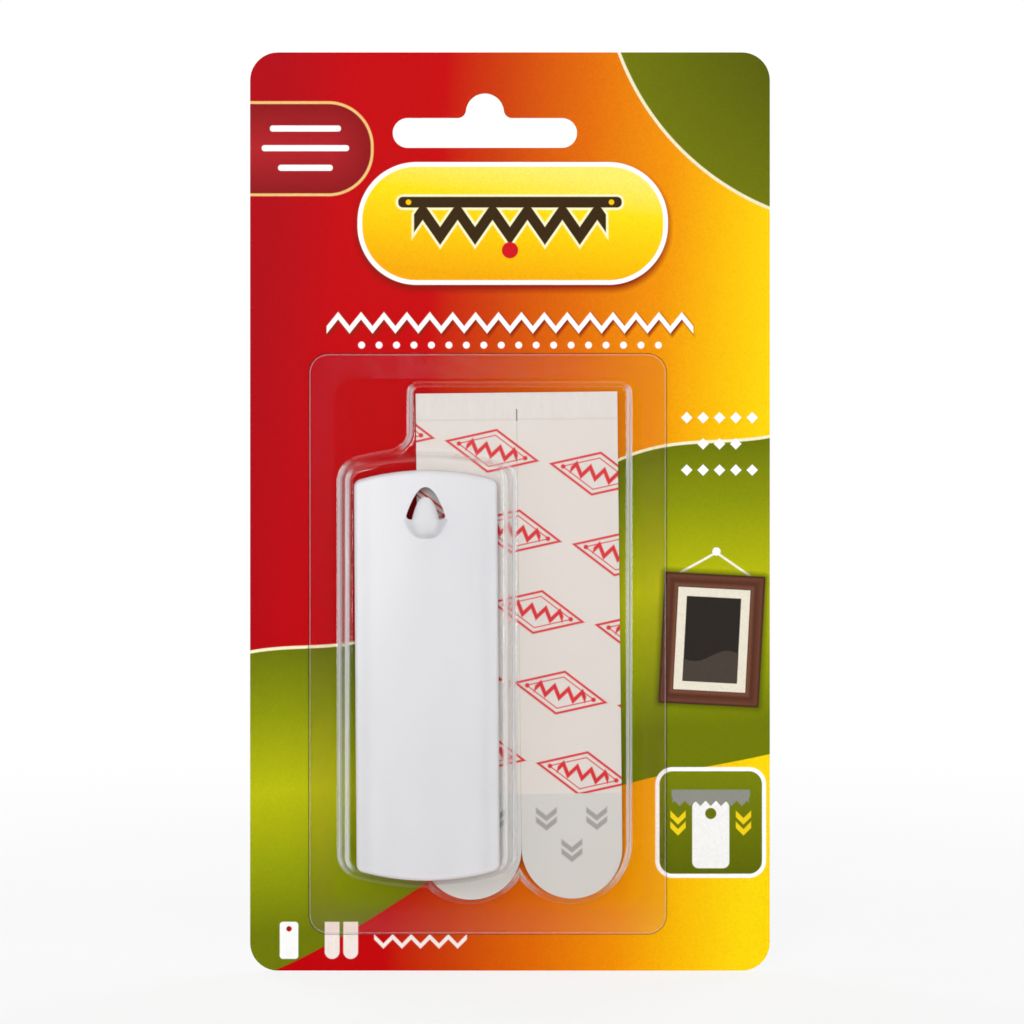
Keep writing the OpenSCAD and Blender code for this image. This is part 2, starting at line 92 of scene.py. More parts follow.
class Field:
    """A number that changes over a surface."""

    def __init__(self, tree, socket):
        self.tree = tree
        self.socket = socket

    def work(self, operation, *others, clamp=False):
        node = self.tree.nodes.new("ShaderNodeMath")
        node.operation = operation
        node.use_clamp = clamp
        for place, value in zip(node.inputs, (self, *others)):
            if isinstance(value, Field):
                self.tree.links.new(value.socket, place)
            else:
                place.default_value = value
        return Field(self.tree, node.outputs[0])

    def __add__(self, other):
        return self.work("ADD", other)

    def __sub__(self, other):
        return self.work("SUBTRACT", other)

    def __mul__(self, other):
        return self.work("MULTIPLY", other)

    def __truediv__(self, other):
        return self.work("DIVIDE", other)

    def share_of(self, length):
        """One where this distance is the length, and minus one there if the length is negative."""
        return self * (1 / length)

    def away(self):
        return self.work("ABSOLUTE")

    def wave(self):
        return self.work("SINE")

    def least(self, other):
        return self.work("MINIMUM", other)

    def most(self, other):
        return self.work("MAXIMUM", other)

    def turned_over(self):
        """What is left of one."""
        return (self * -1).work("ADD", 1.0)

    def held(self):
        """Kept between nought and one."""
        return self.work("ADD", 0.0, clamp=True)

    def rising(self, start, steepness):
        """Nought up to a start, and then climbing to one."""
        return ((self - start) * steepness).held()

    def peaked(self, middle, steepness, height):
        """Highest at a middle, cut off at one, and falling to nought on both sides."""
        return ((self - middle).away() * -steepness + height).held()

    def eased(self):
        """Slow at both ends, for a field that runs from nought to one."""
        return self * self * (self * -2 + 3)

    def traced(self, half_line):
        """Distance to a line along the edge where this distance is nought."""
        return self.away() - half_line

    def repeated(self, pitch, copies):
        """Distance from the nearest of the places that repeat at a pitch, on this many copies each way."""
        return (self + pitch * (copies + 0.5)).work("MODULO", pitch) - pitch / 2

    def inked(self, soft=PRINT_EDGE):
        """Full ink where this distance is below nought."""
        return self.share_of(-soft).work("ADD", 0.5, clamp=True)


class Paint:
    """Colour laid on a surface, one ink over another."""

    def __init__(self, tree, colour):
        self.tree = tree
        self.colour = colour if isinstance(colour, bpy.types.NodeSocket) else ink(colour)

    def lay(self, mask, colour, blend="MIX"):
        """Lays an ink, given by its code, or another run of colour where the mask is one."""
        mix = add(self.tree, "ShaderNodeMix", data_type="RGBA", blend_type=blend)
        factor, under, over = mix.inputs["Factor"], mix.inputs[6], mix.inputs[7]
        for place, value in ((factor, mask), (under, self.colour), (over, colour)):
            if isinstance(value, Field):
                value = value.socket
            if isinstance(value, str):
                value = ink(value)
            if isinstance(value, bpy.types.NodeSocket):
                self.tree.links.new(value, place)
            else:
                place.default_value = value
        self.colour = mix.outputs[2]


def add(tree, kind, **settings):
    node = tree.nodes.new(kind)
    for name, value in settings.items():
        setattr(node, name, value)
    return node


def split(tree, vector):
    """The three parts of a vector."""
    node = add(tree, "ShaderNodeSeparateXYZ")
    tree.links.new(vector, node.inputs[0])
    return [Field(tree, part) for part in node.outputs]


def flat_place(tree, middle, lean=0.0):
    """Millimetres across and up a flat piece from its middle, as its printer measures them."""
    where = add(tree, "ShaderNodeTexCoord")
    centred = add(tree, "ShaderNodeMapping", vector_type="TEXTURE")
    centred.inputs["Location"].default_value = middle
    centred.inputs["Rotation"].default_value = (0.0, -lean, 0.0)
    centred.inputs["Scale"].default_value = (MM, MM, MM)
    tree.links.new(where.outputs["Object"], centred.inputs["Vector"])
    mm = centred.outputs["Vector"]
    across, _, up = split(tree, mm)
    return Place(across, up, mm)


def strip_place(tree):
    return flat_place(tree, STRIP_MIDDLE, STRIP_LEAN)


def noise(tree, vector, scale=1.0, **settings):
    node = add(tree, "ShaderNodeTexNoise")
    node.inputs["Scale"].default_value = scale
    for name, value in settings.items():
        node.inputs[name].default_value = value
    tree.links.new(vector, node.inputs["Vector"])
    return node


def ramp(tree, factor, stops):
    """A run of colours along a field, from (share, ink) pairs."""
    node = add(tree, "ShaderNodeValToRGB")
    points = node.color_ramp.elements
    while len(points) < len(stops):
        points.new(1.0)
    for point, (share, code) in zip(points, stops):
        point.position = share
        point.color = ink(code)
    tree.links.new(factor.socket, node.inputs["Fac"])
    return node.outputs["Color"]


def mix_shaders(tree, share, under, over):
    node = add(tree, "ShaderNodeMixShader")
    tree.links.new(share.socket, node.inputs[0])
    tree.links.new(under.outputs[0], node.inputs[1])
    tree.links.new(over.outputs[0], node.inputs[2])
    return node


# Shapes of printed signs, as distances to their outlines in millimetres
def from_point(x, y, point):
    return x - point[0], y - point[1]


def turned(x, y, degrees):
    c, s = math.cos(math.radians(degrees)), math.sin(math.radians(degrees))
    return x * c + y * s, y * c - x * s


def box_edge(x, y, half_w, half_h, corner):
    """Distance to the outline of a box with round corners."""
    across = x.away() - (half_w - corner)
    up = y.away() - (half_h - corner)
    beyond = (across.most(0.0).work("POWER", 2.0) + up.most(0.0).work("POWER", 2.0)).work("SQRT")
    return beyond + across.most(up).least(0.0) - corner


def ring_edge(x, y, radius):
    return (x * x + y * y).work("SQRT") - radius


def zigzag_edge(x, y, pitch, height, half_line):
    """Distance to a zigzag line that runs along x."""
    teeth_before = 40
    rise = (x + pitch * teeth_before).work("PINGPONG", pitch / 2) * (2 * height / pitch) - height / 2
    steep = math.cos(math.atan2(2 * height, pitch))
    return (y - rise).away() * steep - half_line


def chevron_edge(x, y, half_w, drop, half_line):
    """Distance to a V that points down."""
    steep = math.cos(math.atan2(drop, half_w))
    arms = (y - x.away() * (drop / half_w)).away() * steep - half_line
    return arms.most(x.away() - half_w)


def slow_curve(x, length, height, slope, level, start=0.0):
    """Height of a long curve that waves and climbs along x."""
    return (x.share_of(length) + start).wave() * height + x * slope + level


# Grain and materials
def grain_group():
    """Fine mottle and fibre that board, liner, film and foam share."""
    group = bpy.data.node_groups.new("paper grain", "ShaderNodeTree")
    face = group.interface
    face.new_socket(name="Vector", in_out="INPUT", socket_type="NodeSocketVector")
    for name, start in (("Mottle Scale", 1.5), ("Fibre Scale", 0.5), ("Fibre Stretch", 6.0)):
        face.new_socket(name=name, in_out="INPUT", socket_type="NodeSocketFloat").default_value = start
    for name in ("Mottle", "Fibre", "Height"):
        face.new_socket(name=name, in_out="OUTPUT", socket_type="NodeSocketFloat")
    enter = group.nodes.new("NodeGroupInput")
    leave = group.nodes.new("NodeGroupOutput")
    spots = noise(group, enter.outputs["Vector"], Detail=3.0, Roughness=0.65)
    group.links.new(enter.outputs["Mottle Scale"], spots.inputs["Scale"])
    stretch = add(group, "ShaderNodeCombineXYZ")
    group.links.new(enter.outputs["Fibre Stretch"], stretch.inputs["X"])
    stretch.inputs["Y"].default_value = 1.0
    stretch.inputs["Z"].default_value = 1.0
    longer = add(group, "ShaderNodeVectorMath", operation="MULTIPLY")
    group.links.new(enter.outputs["Vector"], longer.inputs[0])
    group.links.new(stretch.outputs[0], longer.inputs[1])
    threads = noise(group, longer.outputs[0], Detail=4.0)
    group.links.new(enter.outputs["Fibre Scale"], threads.inputs["Scale"])
    mottle = Field(group, spots.outputs["Fac"])
    fibre = Field(group, threads.outputs["Fac"])
    group.links.new(mottle.socket, leave.inputs["Mottle"])
    group.links.new(fibre.socket, leave.inputs["Fibre"])
    group.links.new((mottle * 0.6 + fibre * 0.4).socket, leave.inputs["Height"])
    return group


GRAIN = grain_group()


class Surface:
    """A material with one principled shader, its colour laid by Paint."""

    def __init__(self, name, roughness=0.5, specular=0.5, coat=0.0, **plain):
        self.material = bpy.data.materials.new(name)
        self.material.use_nodes = True
        self.tree = self.material.node_tree
        self.tree.nodes.clear()
        self.shader = add(self.tree, "ShaderNodeBsdfPrincipled")
        self.output = add(self.tree, "ShaderNodeOutputMaterial")
        self.show(self.shader)
        self.shader.inputs["Roughness"].default_value = roughness
        self.shader.inputs["Specular IOR Level"].default_value = specular
        self.shader.inputs["Coat Weight"].default_value = coat
        for key, value in plain.items():
            self.shader.inputs[key.replace("_", " ")].default_value = value

    def show(self, shader):
        self.tree.links.new(shader.outputs[0], self.output.inputs["Surface"])

    def grain(self, vector, mottle, fibre, stretch):
        node = add(self.tree, "ShaderNodeGroup", node_tree=GRAIN)
        self.tree.links.new(vector, node.inputs["Vector"])
        node.inputs["Mottle Scale"].default_value = mottle
        node.inputs["Fibre Scale"].default_value = fibre
        node.inputs["Fibre Stretch"].default_value = stretch
        return Grain(*(Field(self.tree, part) for part in node.outputs))

    def tone(self, paint, field, swing):
        """Lightens and darkens the paint by a field that runs from nought to one."""
        level = (field - 0.5) * (2 * swing) + 1.0
        grey = add(self.tree, "ShaderNodeCombineXYZ")
        for place in grey.inputs:
            self.tree.links.new(level.socket, place)
        paint.lay(1.0, grey.outputs[0], blend="MULTIPLY")

    def colour(self, paint):
        self.tree.links.new(paint.colour, self.shader.inputs["Base Color"])

    def roughness(self, field):
        self.tree.links.new(field.socket, self.shader.inputs["Roughness"])

    def bump(self, field, height):
        node = add(self.tree, "ShaderNodeBump")
        node.inputs["Strength"].default_value = 1.0
        node.inputs["Distance"].default_value = height
        self.tree.links.new(field.socket, node.inputs["Height"])
        self.tree.links.new(node.outputs[0], self.shader.inputs["Normal"])


# The card's print, in millimetres from the card's middle
def lay_ground(tree, x, y):
    """A warm run of colour across the card, from deep red to yellow."""
    slant = 0.07
    return Paint(tree, ramp(tree, (x - y * slant).share_of(96) + 0.5, [
        (0.0, "ae0010"), (0.14, "c00008"), (0.32, "c30407"), (0.44, "c94005"),
        (0.6, "dd6a02"), (0.76, "ee9201"), (0.88, "f8bc01"), (1.0, "fcd808"),
    ]))


def lay_wave(paint, x, y):
    """A lime wave, olive at its rims."""
    crest = slow_curve(x, length=12, height=5.5, slope=0.5, level=-6.0)
    trough = slow_curve(x, length=17, height=4, slope=0.42, level=-62.0, start=1.0)
    depth = y - crest
    lime = ramp(paint.tree, depth.share_of(-52).held(), [
        (0.0, "6a7305"), (0.22, "8b9406"), (0.5, "b8bb0b"), (0.75, "96a007"), (1.0, "707a05"),
    ])
    paint.lay(depth.most(trough - y).inked(), lime)
    paint.lay(depth.traced(0.28).inked(), "f6efc8")


def lay_corner(paint, x, y):
    """The olive corner at the upper right."""
    corner = ring_edge(*from_point(x, y, (66, 101)), radius=49)
    shade = ramp(paint.tree, corner.share_of(-40).held(), [
        (0.0, "6e7408"), (0.6, "555b07"), (1.0, "474c08"),
    ])
    paint.lay(corner.inked(), shade)
    paint.lay(corner.traced(0.3).inked(), "efe6c0")


def lay_tab(paint, x, y):
    """The maroon tab at the left edge, with three blank lines."""
    tab = box_edge(*from_point(x, y, (-43, 66.5)), half_w=17.5, half_h=8.2, corner=7.8)
    maroon = ramp(paint.tree, tab.share_of(-8).held(), [(0.0, "8c1418"), (1.0, "b02026")])
    paint.lay((tab - 0.5).inked(), "f0c27a")
    paint.lay(tab.inked(), maroon)
    for up, half_w in ((70.2, 6.5), (66.6, 8.0), (63.0, 5.0)):
        line = box_edge(*from_point(x, y, (-37.5, up)), half_w, half_h=0.55, corner=0.5)
        paint.lay(line.inked(), WHITE)


def lay_panel(paint, x, y):
    """The yellow panel, with a toothed rail over a red dot."""
    across, up = from_point(x, y, (0.5, 52.8))
    panel = box_edge(across, up, half_w=27.6, half_h=10.4, corner=10.0)
    shadow = box_edge(across, up + 0.7, half_w=28.7, half_h=11.5, corner=11.0)
    paint.lay(shadow.inked(1.6), "8e1403")
    paint.lay((panel - 0.85).inked(), WHITE)
    slant = 0.006
    gold = ramp(paint.tree, (up.share_of(21) + x * slant + 0.5).held(), [
        (0.0, "f3a800"), (0.35, GOLD), (0.7, "fbdc14"), (1.0, "fde968"),
    ])
    paint.lay(panel.inked(), gold)
    rail_up = up - 3.9
    teeth = zigzag_edge(x, up, pitch=6.4, height=4.6, half_line=0.95).most(x.away() - 17.6)
    sign = teeth.least(box_edge(x, rail_up, half_w=20.5, half_h=1.0, corner=0.9))
    paint.lay((sign - 0.45).inked(), "fdf2c0")
    paint.lay(sign.inked(), "3c2a12")
    for side in (-1, 1):
        paint.lay(ring_edge(x - side * 18.6, rail_up, radius=0.5).inked(), GOLD)
    paint.lay(ring_edge(x, up + 4.9, radius=1.5).inked(), "cf1420")


def lay_lines(paint, x, y):
    """A toothed line with its shadow and a row of dots, under the panel."""
    past_line = x.away() - 33.6
    shadow = zigzag_edge(*from_point(x, y, (0.3, 34.2)), pitch=4.2, height=2.6, half_line=0.5)
    paint.lay(shadow.most(past_line).inked(0.7), "8e2003")
    line = zigzag_edge(x, y - 34.6, pitch=4.2, height=2.6, half_line=0.42)
    paint.lay(line.most(past_line).inked(), WHITE)
    dot_pitch = 3.2
    along = (x - dot_pitch / 2).repeated(dot_pitch, copies=125)
    dots = ring_edge(along, y - 30.5, radius=0.62).most(x.away() - 29.6)
    paint.lay(dots.inked(), WHITE)


def lay_diamonds(paint, x, y):
    """Three rows of small diamonds at the right."""
    half_size = 1.05
    along = x - 38.4
    for up, reach in ((17.2, 7.5), (12.4, 4.5), (7.6, 7.5)):
        diamond = along.repeated(3.0, copies=100).away() + (y - up).away() - half_size
        paint.lay(diamond.most(along.away() - reach).inked(), WHITE)


def lay_picture(paint, card_x, card_y):
    """A framed picture of a hill, hung a little askew on its wire."""
    x, y = turned(*from_point(card_x, card_y, (37.0, -23.5)), degrees=-3)
    wire = ((y - 16.0) + x.away() * 0.62).away() * 0.85 - 0.22
    paint.lay(wire.most(x.away() - 6.5).most(y * -1 + 11.0).inked(), "f5f0d8")
    paint.lay(ring_edge(x, y - 16.2, radius=0.75).inked(), WHITE)
    outer = box_edge(x, y, half_w=9.2, half_h=12.0, corner=0.3)
    paint.lay((outer - 0.5).inked(1.2), "5b6205")
    wood = ramp(paint.tree, outer.share_of(-2.6).held(), [
        (0.0, "3a2018"), (0.2, "6b4030"), (0.6, "553124"), (0.9, "7a4c38"), (1.0, "2c1a14"),
    ])
    paint.lay(outer.inked(), wood)
    paint.lay(box_edge(x, y, half_w=6.6, half_h=9.4, corner=0.1).inked(), "e9e2cf")
    view = box_edge(x, y, half_w=5.0, half_h=7.8, corner=0.1)
    paint.lay(view.inked(), "2f2925")
    hill = (x * 0.5).wave() * 1.1 - 3.0
    paint.lay(view.most(y - hill).inked(), "4a423a")


def lay_hanger_sign(paint, x, y, half_w, half_h, colour, hole):
    """A small plain sign of the hanger: a round-cornered plate with a hole near its top."""
    plate = box_edge(x, y, half_w, half_h, corner=half_w * 0.35)
    paint.lay(plate.inked(), colour)
    paint.lay(ring_edge(x, y - half_h * 0.62, radius=half_w * 0.3).inked(), hole)


def lay_strip_sign(paint, x, y, half_w, half_h, colour):
    """A small plain sign of a strip, square above and round below."""
    top = box_edge(x, y - half_w / 2, half_w, half_h - half_w / 2, corner=0.1)
    foot = ring_edge(x, y + half_h - half_w, radius=half_w)
    paint.lay(top.least(foot).inked(), colour)


def lay_inset(paint, card_x, card_y):
    """The inset that shows the hanger under a toothed bar, with arrows that point down."""
    x, y = from_point(card_x, card_y, (36.8, -57.0))
    inset = box_edge(x, y, half_w=9.4, half_h=9.4, corner=2.4)
    paint.lay((inset - 0.75).inked(), WHITE)
    olive = ramp(paint.tree, (y.share_of(19) + 0.5).held(), [(0.0, "5d6605"), (1.0, "79830a")])
    paint.lay(inset.inked(), olive)
    lay_hanger_sign(paint, x, y + 2.2, half_w=3.4, half_h=6.2, colour="f4f4f2", hole="69720a")
    teeth = zigzag_edge(x, y - 4.3, pitch=1.9, height=1.0, half_line=0.55).most(x.away() - 7.0)
    bar = box_edge(x, y - 5.3, half_w=7.2, half_h=0.7, corner=0.2)
    paint.lay(teeth.least(bar).inked(), "8f8f86")
    for side in (-1, 1):
        for up in (0.2, -1.8):
            arrow = chevron_edge(x - side * 6.0, y - up, half_w=1.4, drop=1.4, half_line=0.42)
            paint.lay(arrow.inked(), LEMON)


def lay_contents(paint, x, y):
    """What the pack holds, as small signs and a toothed line along the foot."""
    signs_y = y + 78.6
    lay_hanger_sign(paint, x + 40.5, signs_y, half_w=1.7, half_h=3.4, colour=WHITE, hole="b00a0a")
    for left in (32.6, 29.2):
        lay_strip_sign(paint, x + left, signs_y, half_w=1.35, half_h=3.4, colour=OFF_WHITE)
    across, up = from_point(x, y, (-16.4, -78.8))
    line = zigzag_edge(across, up, pitch=3.4, height=1.7, half_line=0.34).most(across.away() - 8.5)
    paint.lay(line.inked(), OFF_WHITE)


def print_card(tree, x, y):
    """The printed face, one sign over another."""
    paint = lay_ground(tree, x, y)
    lay_wave(paint, x, y)
    lay_corner(paint, x, y)
    lay_tab(paint, x, y)
    lay_panel(paint, x, y)
    lay_lines(paint, x, y)
    lay_diamonds(paint, x, y)
    lay_picture(paint, x, y)
    lay_inset(paint, x, y)
    lay_contents(paint, x, y)
    return paint


def card_material():
    surface = Surface("printed card", roughness=0.42, specular=0.03, coat=0.02, Coat_Roughness=0.25)
    tree = surface.tree
    place = flat_place(tree, CARD_MIDDLE)
    paint = print_card(tree, place.x, place.y)
    grain = surface.grain(place.mm, mottle=2.6, fibre=0.45, stretch=5.0)
    surface.tone(paint, grain.mottle, 0.16)
    # Halftone dots, turned on the sheet as a printer's screen is
    screen_x, screen_y = turned(place.x, place.y, degrees=15)
    dots_per_turn = 14.0
    dots = (screen_x * dots_per_turn).wave() * (screen_y * dots_per_turn).wave() * 0.5 + 0.5
    surface.tone(paint, dots, 0.05)
    # Board shows at the cut edges and on the back
    board = Paint(tree, ramp(tree, grain.fibre, [(0.3, "dedbd4"), (0.55, "eceae4"), (0.75, "f4f2ee")]))
    surface.tone(board, grain.mottle, 0.05)
    depth = split(tree, place.mm)[1] * -1
    ink_depth = 0.015
    board.lay(depth.rising(-CARD_FRONT / MM - ink_depth, steepness=200), paint.colour)
    surface.colour(board)
    surface.roughness(grain.mottle * 0.16 + 0.36)
    surface.bump(grain.height, 0.02 * MM)
    return surface.material


# The strips
def strip_print(tree, x, y):
    """The liner's print: slanted rows of long red diamonds, each with a toothed line across it."""
    paint = Paint(tree, "e7dfd8")
    u, v = turned(x, y, degrees=-13)
    row_pitch = 13.5
    rows = 20
    pitch = 19.5
    row_shift = pitch * 0.37
    row = (v + row_pitch * rows).share_of(row_pitch).work("FLOOR")
    up = v + row_pitch * rows - row * row_pitch - row_pitch / 2
    along = (u + row * row_shift - pitch / 2).repeated(pitch, copies=rows)
    reach = along.away().share_of(8.4) + up.away().share_of(3.9) - 1.0
    # Across the rim, the reach grows by one in about this many millimetres
    rim_run = 3.4
    from_rim = reach * rim_run
    teeth = zigzag_edge(along, up, pitch=2.6, height=1.9, half_line=0.36).most(along.away() - 4.8)
    for shape in (from_rim.traced(0.2), (from_rim + 0.85).traced(0.1), teeth):
        paint.lay(shape.inked(LINER_PRINT_EDGE), LINER_RED)
    for side in (-1, 1):
        dot = ring_edge(along - side * 6.2, up, radius=0.42)
        paint.lay(dot.inked(LINER_PRINT_EDGE), LINER_RED)
    return paint


def liner_material(name, printed):
    surface = Surface(name, roughness=0.38, specular=0.3, coat=0.08, Coat_Roughness=0.3)
    place = strip_place(surface.tree)
    grain = surface.grain(place.mm, mottle=1.8, fibre=0.4, stretch=4.0)
    paint = strip_print(surface.tree, place.x, place.y) if printed else Paint(surface.tree, "e6ded7")
    surface.tone(paint, grain.mottle, 0.035)
    surface.colour(paint)
    surface.roughness(grain.fibre * 0.12 + 0.32)
    surface.bump(grain.height, 0.012 * MM)
    return surface.material


def tab_material(name, printed):
    surface = Surface(name, roughness=0.4, specular=0.3)
    place = strip_place(surface.tree)
    grain = surface.grain(place.mm, mottle=2.2, fibre=0.5, stretch=3.0)
    paint = Paint(surface.tree, "dad7d2")
    if printed:
        from_tab = place.x.away() - 9.2
        for across, up in ((-4.6, -31.6), (4.6, -31.6), (0.0, -37.4)):
            for drop in (0.0, 1.7):
                mark = chevron_edge(
                    from_tab - across, place.y - up + drop, half_w=1.9, drop=1.5, half_line=0.42
                )
                paint.lay(mark.inked(0.3), "a9a49f")
    surface.tone(paint, grain.mottle, 0.04)
    surface.colour(paint)
    surface.roughness(grain.mottle * 0.14 + 0.34)
    surface.bump(grain.height, 0.01 * MM)
    return surface.material


def header_material():
    surface = Surface("header film", roughness=0.4, specular=0.3)
    place = strip_place(surface.tree)
    grain = surface.grain(place.mm, mottle=1.6, fibre=0.4, stretch=4.0)
    paint = Paint(surface.tree, ramp(surface.tree, grain.fibre, [(0.3, "e4dcd6"), (0.7, "eae2dd")]))
    # A darker line along the crease: painted shade
    crease_painted_shade = (place.y - 41.4).traced(0.12)
    paint.lay(crease_painted_shade.inked(0.4) * 0.5, "cfc3bb")
    # The slit where the two strips tear apart
    slit = box_edge(place.x, place.y - 42.2, half_w=0.1, half_h=1.1, corner=0.05)
    paint.lay(slit.inked(0.15), "6e625a")
    surface.tone(paint, grain.mottle, 0.03)
    surface.colour(paint)
    surface.bump(grain.height, 0.01 * MM)
    return surface.material


def foam_material():
    surface = Surface("strip foam", roughness=0.85, specular=0.2)
    tree = surface.tree
    place = strip_place(tree)
    grain = surface.grain(place.mm, mottle=3.0, fibre=1.2, stretch=1.5)
    cells = add(tree, "ShaderNodeTexVoronoi", feature="F1")
    cells.inputs["Scale"].default_value = 5.0
    tree.links.new(place.mm, cells.inputs["Vector"])
    pores = Field(tree, cells.outputs["Distance"])
    paint = Paint(tree, ramp(tree, pores, [(0.1, "cfc8c2"), (0.5, "e6e1dc")]))
    surface.tone(paint, grain.mottle, 0.06)
    surface.colour(paint)
    surface.bump(pores * 0.7 + grain.height * 0.3, 0.06 * MM)
    return surface.material


def adhesive_material():
    surface = Surface("strip adhesive", roughness=0.3, specular=0.5)
    place = strip_place(surface.tree)
    grain = surface.grain(place.mm, mottle=1.2, fibre=0.6, stretch=2.0)
    paint = Paint(surface.tree, ramp(surface.tree, grain.mottle, [(0.3, "dcd8c8"), (0.7, "e8e4d6")]))
    surface.colour(paint)
    surface.roughness(grain.fibre * 0.2 + 0.22)
    surface.bump(grain.height, 0.02 * MM)
    return surface.material


# The hanger
def hanger_material():
    surface = Surface(
        "moulded white plastic", roughness=0.3, specular=0.5, coat=0.5, Coat_Roughness=0.25,
        Subsurface_Weight=0.1, Subsurface_Radius=(1.0, 1.0, 1.0), Subsurface_Scale=0.8 * MM,
    )
    tree = surface.tree
    place = flat_place(tree, HANGER_MIDDLE)
    grain = surface.grain(place.mm, mottle=0.5, fibre=0.06, stretch=3.0)
    paint = Paint(tree, ramp(tree, grain.fibre, [(0.3, "e6e6ea"), (0.7, "eaeaee")]))
    surface.tone(paint, grain.mottle, 0.008)
    surface.colour(paint)
    texture = Field(tree, noise(tree, place.mm, scale=24.0, Detail=2.0).outputs["Fac"])
    surface.roughness(texture * 0.08 + 0.24)
    surface.bump(texture, 0.004 * MM)
    return surface.material


# The blister and its seal
def see_through(surface, share, tint, mirrored=None):
    """Mixes the surface with a clear one, so that share of it shows, under a polished skin."""
    tree = surface.tree
    clear = add(tree, "ShaderNodeBsdfTransparent")
    clear.inputs["Color"].default_value = ink(tint)
    seen = mix_shaders(tree, share, clear, surface.shader)
    if mirrored:
        skin = add(tree, "ShaderNodeBsdfGlossy")
        skin.inputs["Roughness"].default_value = 0.07
        seen = mix_shaders(tree, mirrored, seen, skin)
    surface.show(seen)
    surface.material.surface_render_method = "DITHERED"


def drawn_haze_and_painted_light(tree, mm):
    """The sheet whitens where it was drawn: on its walls and on the bends round them. Part of this white
    is painted light: slopes that face the side lamps get more, and on the bends it stands for painted
    highlights.
    """
    where = add(tree, "ShaderNodeTexCoord")
    run, out, rise = (part.away() for part in split(tree, where.outputs["Normal"]))
    slope = out.turned_over()
    drawn = slope.rising(0.02, steepness=7.5).eased()
    bend = slope.peaked(0.4, steepness=3.2, height=1.25)
    # Slopes that face sideways, towards the side lamps, get more white: painted light
    sideways = (run / (run + rise + 0.001)).rising(0.35, steepness=3.0)
    pull = add(tree, "ShaderNodeMapping")
    pull.inputs["Scale"].default_value = (1.6, 1.6, 0.06)
    tree.links.new(mm, pull.inputs["Vector"])
    streaks = Field(tree, noise(tree, pull.outputs[0], Detail=2.0).outputs["Fac"])
    streaked = (streaks * 2.8 - 0.4).most(0.3)
    wall_haze_side_lit = sideways * 0.16 + 0.006
    # On the bends the white is partly real whitening and partly a painted highlight
    bend_haze_and_highlight = sideways * 0.36 + 0.01
    return drawn * (wall_haze_side_lit * streaked) + bend * bend_haze_and_highlight


def clear_sheet_material():
    surface = Surface("clear formed sheet", roughness=0.1, specular=0.5)
    tree = surface.tree
    place = flat_place(tree, CARD_MIDDLE)
    grain = surface.grain(place.mm, mottle=0.25, fibre=0.05, stretch=2.0)
    # Drawn whitening, with painted light on side-facing slopes and painted highlights on the bends
    haze = drawn_haze_and_painted_light(tree, place.mm)
    # Round the flange's knife-cut rim: a pale line that is a painted highlight, and outside it a dark line
    # that is a painted shadow
    flange = middle_of(FLANGE_BOX)
    flange_at = ((flange[0] - CARD_MIDDLE[0]) / MM, (flange[2] - CARD_MIDDLE[2]) / MM)
    flange_w, _, flange_h = (FLANGE_BOX[1] - FLANGE_BOX[0]) / MM
    rim = box_edge(*from_point(place.x, place.y, flange_at), flange_w / 2, flange_h / 2, FLANGE_CORNER)
    pale_painted_highlight = (rim + 0.36).traced(0.05).inked(0.14) * 0.17
    dark_painted_shadow = (rim + 0.1).traced(0.04).inked(0.1) * 0.33
    paint = Paint(tree, ramp(tree, grain.mottle, [(0.3, "f2f5f7"), (0.7, "fbfcfd")]))
    # Dark ink in the outer rim, the colour of the painted shadow line
    paint.lay((rim + 0.21).inked(0.04).turned_over(), "2a2420")
    surface.colour(paint)
    surface.roughness(grain.mottle * 0.06 + 0.06)
    surface.bump(grain.fibre, 0.03 * MM)
    # A skin of any clear plastic mirrors little face on and much at a grazing angle
    facing = add(tree, "ShaderNodeLayerWeight")
    facing.inputs["Blend"].default_value = 0.5
    mirrored = Field(tree, facing.outputs["Facing"]).work("POWER", 5.0) * 0.6 + 0.025
    see_through(surface, haze.most(pale_painted_highlight).most(dark_painted_shadow).held(), "fefefe", mirrored)
    return surface.material


def seal_material():
    surface = Surface("heat seal coat", roughness=0.4, specular=0.2)
    tree = surface.tree
    place = flat_place(tree, CARD_MIDDLE)
    grain = surface.grain(place.mm, mottle=0.35, fibre=0.3, stretch=1.5)
    tint = ramp(tree, (place.x + 37.0).share_of(32).held(), [(0.0, "dcaaee"), (1.0, "fff4ee")])
    surface.colour(Paint(tree, tint))
    # The heated plate's fine knurl, pressed hardest along the top
    knurl = (place.x * 9.0).wave() * (place.y * 9.0).wave() * 0.5 + 0.5
    upward = (place.y + 8.0).share_of(34).held()
    inward = ((place.x + 8.0).away().share_of(-36) + 1.0).held()
    pressed = upward * inward
    haze = grain.mottle.rising(0.3, steepness=2.4) * 0.015 + knurl * 0.008
    see_through(surface, haze * (pressed * 1.4 + 0.22) + 0.001, "fffdfc")
    return surface.material


# The pieces
def merged_copy(node, name, sharp_degrees):
    """The node's solid as one smooth-shaded piece, with its corners kept sharp."""
    mesh = nodes[node].data.copy()
    mesh.name = name
    if "custom_normal" in mesh.attributes:
        mesh.attributes.remove(mesh.attributes["custom_normal"])
    solid = bmesh.new()
    solid.from_mesh(mesh)
    bmesh.ops.remove_doubles(solid, verts=solid.verts, dist=1e-7)
    solid.to_mesh(mesh)
    solid.free()
    mesh.shade_smooth()
    mesh.set_sharp_from_angle(angle=math.radians(sharp_degrees))
    piece = bpy.data.objects.new(name, mesh)
    bpy.context.scene.collection.objects.link(piece)
    even = piece.modifiers.new("even normals", "WEIGHTED_NORMAL")
    even.keep_sharp = True
    even.weight = 100
    return piece


